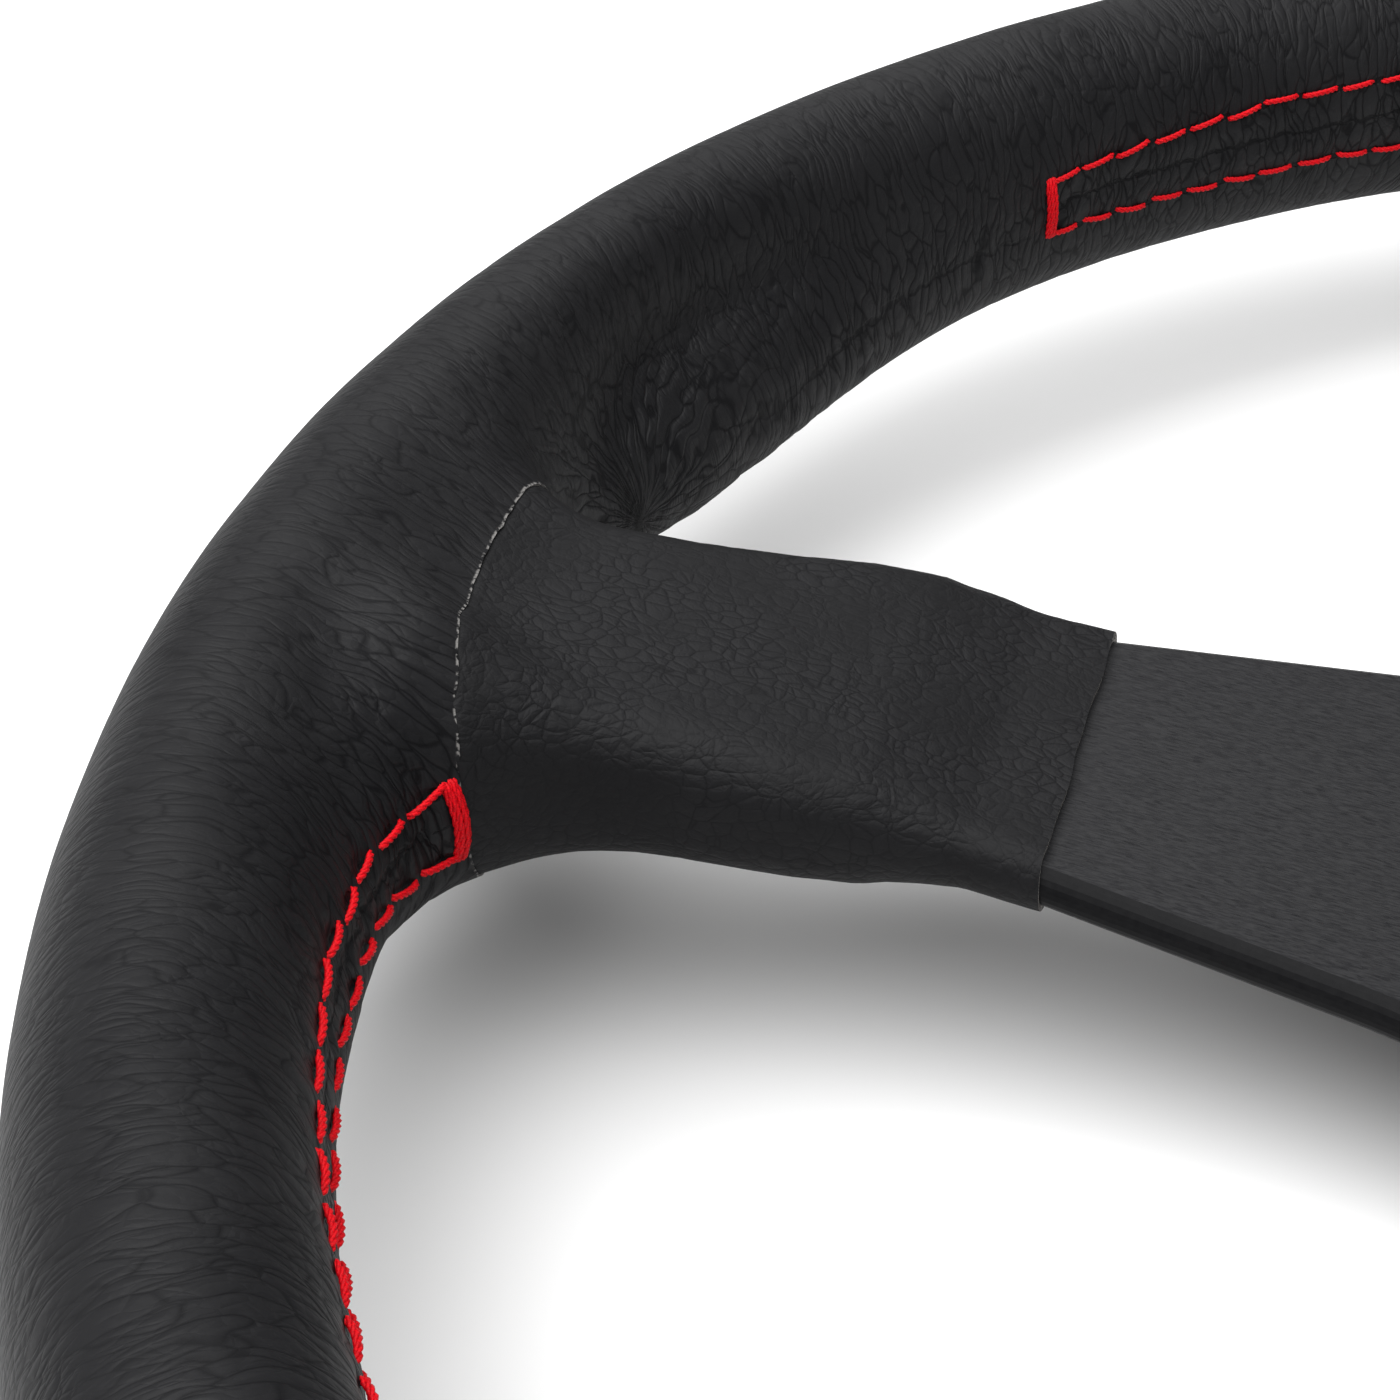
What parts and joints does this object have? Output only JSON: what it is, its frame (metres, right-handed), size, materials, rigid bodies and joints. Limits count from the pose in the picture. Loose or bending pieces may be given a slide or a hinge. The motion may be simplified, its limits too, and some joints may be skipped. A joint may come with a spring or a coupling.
{
  "type": "quick release steering wheel",
  "caption": "Round dished steering wheel with padded leather rim, flat metal spokes, stitched seams, a horn button and a ball-lock quick release coupling behind the hub.",
  "frame": {"origin": "on the steering axis, on the back face of the quick release coupling, which seats on the column's hub", "axes": "+Z along the steering axis towards the driver, +Y towards the top of the wheel, +X to the driver's right"},
  "size_m": [0.35, 0.35, 0.0508],
  "materials": {
    "rim_leather": "smooth-grained black leather, satin, fine creases across the rim",
    "spoke_leather": "pebble-grained black leather, satin",
    "pad_foam": "moulded polyurethane foam, matt",
    "red_thread": "twisted red polyester thread",
    "anodised_plate": "brushed and anodised satin black",
    "anodised_ring": "turned and anodised satin black",
    "anodised_collar": "turned and anodised red",
    "machined_alloy": "machined, clear anodised",
    "bright_steel": "ground and polished",
    "black_steel": "black oxide",
    "moulded_plastic": "fine-textured black moulding",
    "contact_brass": "turned brass"
  },
  "bodies": {
    "wheel": {"spoke_plate": "anodised_plate", "rim_core_ring": "machined_alloy", "rim_foam": "pad_foam", "rim_leather": "rim_leather", "spoke_leather_left": "spoke_leather", "tab_rivet_left": "bright_steel", "spoke_leather_right": "spoke_leather", "tab_rivet_right": "bright_steel", "spoke_leather_bottom": "spoke_leather", "tab_rivet_bottom": "bright_steel", "stitching_top": "red_thread", "stitching_lower_left": "red_thread", "stitching_lower_right": "red_thread", "bolt_ring": "anodised_ring", "wheel_bolt_1": "black_steel", "wheel_bolt_2": "black_steel", "wheel_bolt_3": "black_steel", "wheel_bolt_4": "black_steel", "wheel_bolt_5": "black_steel", "wheel_bolt_6": "black_steel", "horn_housing": "moulded_plastic", "horn_contact_fixed": "contact_brass", "horn_spring": "bright_steel", "horn_feed_bush": "moulded_plastic", "horn_feed_pin": "contact_brass", "coupling_body": "machined_alloy", "collar_spring": "bright_steel", "collar_circlip": "black_steel"},
    "release_collar": {"release_collar": "anodised_collar"},
    "horn_button": {"horn_cap": "moulded_plastic", "horn_contact_moving": "contact_brass"},
    "locking_ball_1": {"locking_ball_1": "bright_steel"},
    "locking_ball_2": {"locking_ball_2": "bright_steel"},
    "locking_ball_3": {"locking_ball_3": "bright_steel"},
    "locking_ball_4": {"locking_ball_4": "bright_steel"},
    "locking_ball_5": {"locking_ball_5": "bright_steel"},
    "locking_ball_6": {"locking_ball_6": "bright_steel"}
  },
  "joints": [
    {"name": "collar_pull", "type": "slide", "parent": "wheel", "child": "release_collar", "axis": [0, 0, 1], "range_m": [0, 0.0032], "stiffness_N_per_m": 2500, "springref_m": -0.004, "deforming": ["collar_spring"]},
    {"name": "horn_press", "type": "slide", "parent": "wheel", "child": "horn_button", "axis": [0, 0, -1], "range_m": [0, 0.0025], "stiffness_N_per_m": 900, "springref_m": -0.003, "deforming": ["horn_spring"]},
    {"name": "ball_1_release", "type": "slide", "parent": "wheel", "child": "locking_ball_1", "axis": [1, 0, 0], "range_m": [0, 0.0016]},
    {"name": "ball_2_release", "type": "slide", "parent": "wheel", "child": "locking_ball_2", "axis": [0.5, 0.866, 0], "range_m": [0, 0.0016]},
    {"name": "ball_3_release", "type": "slide", "parent": "wheel", "child": "locking_ball_3", "axis": [-0.5, 0.866, 0], "range_m": [0, 0.0016]},
    {"name": "ball_4_release", "type": "slide", "parent": "wheel", "child": "locking_ball_4", "axis": [-1, 0, 0], "range_m": [0, 0.0016]},
    {"name": "ball_5_release", "type": "slide", "parent": "wheel", "child": "locking_ball_5", "axis": [-0.5, -0.866, 0], "range_m": [0, 0.0016]},
    {"name": "ball_6_release", "type": "slide", "parent": "wheel", "child": "locking_ball_6", "axis": [0.5, -0.866, 0], "range_m": [0, 0.0016]}
  ],
  "couplings": [
    {"joint": "ball_1_release", "follows": "collar_pull", "ratio": 0.5},
    {"joint": "ball_2_release", "follows": "collar_pull", "ratio": 0.5},
    {"joint": "ball_3_release", "follows": "collar_pull", "ratio": 0.5},
    {"joint": "ball_4_release", "follows": "collar_pull", "ratio": 0.5},
    {"joint": "ball_5_release", "follows": "collar_pull", "ratio": 0.5},
    {"joint": "ball_6_release", "follows": "collar_pull", "ratio": 0.5}
  ]
}
